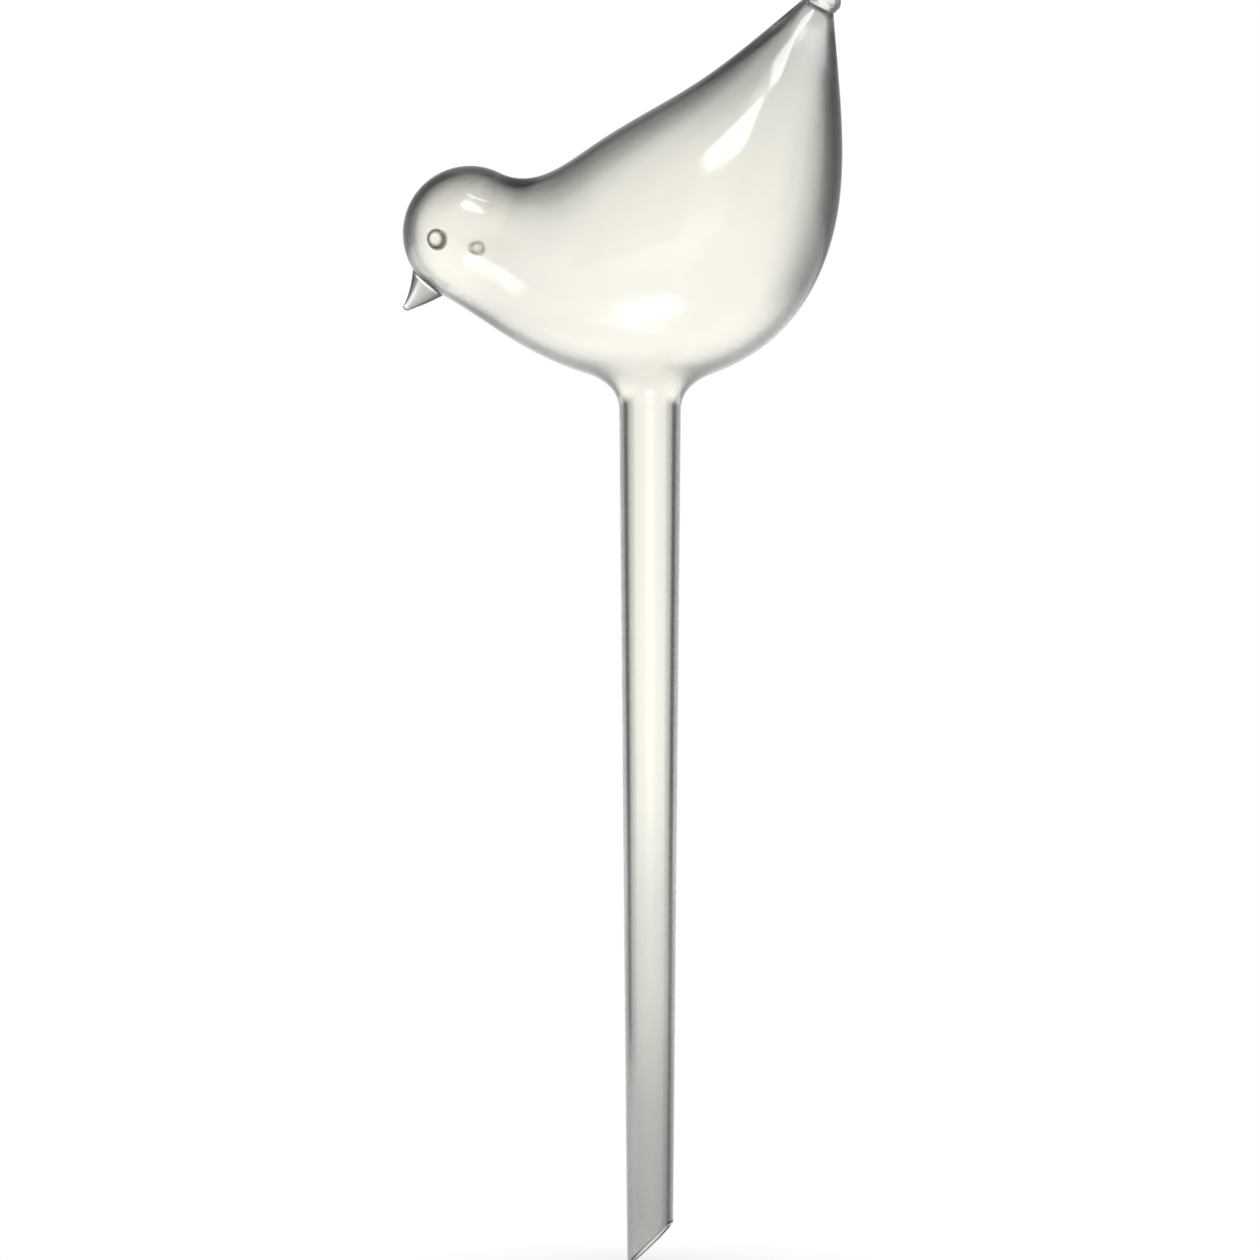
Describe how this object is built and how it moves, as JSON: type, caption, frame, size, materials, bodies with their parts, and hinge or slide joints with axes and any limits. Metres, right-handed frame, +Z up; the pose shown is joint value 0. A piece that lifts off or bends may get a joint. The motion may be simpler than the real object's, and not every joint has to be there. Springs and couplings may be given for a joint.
{
  "type": "watering globe",
  "caption": "Clear blown-glass watering globe shaped as a bird with a raised tail, on a long hollow tapering stem cut at a slant, pushed into a pot's soil to feed it water slowly.",
  "frame": {"origin": "on the stem's axis, at the weld between the stem and the bulb", "axes": "+Z up along the stem's axis, away from the soil; the bird faces -X, so +X is towards its tail; -Y is its left side"},
  "size_m": [0.093, 0.054, 0.2597],
  "materials": {
    "clear_glass": "clear, fire-polished",
    "solid_glass": "clear, fire-polished, solid"
  },
  "bodies": {
    "root": {"bird_bulb": "clear_glass", "stem_tube": "clear_glass", "tail_nib": "solid_glass", "beak": "solid_glass", "left_eye": "solid_glass", "right_eye": "solid_glass"}
  },
  "joints": []
}
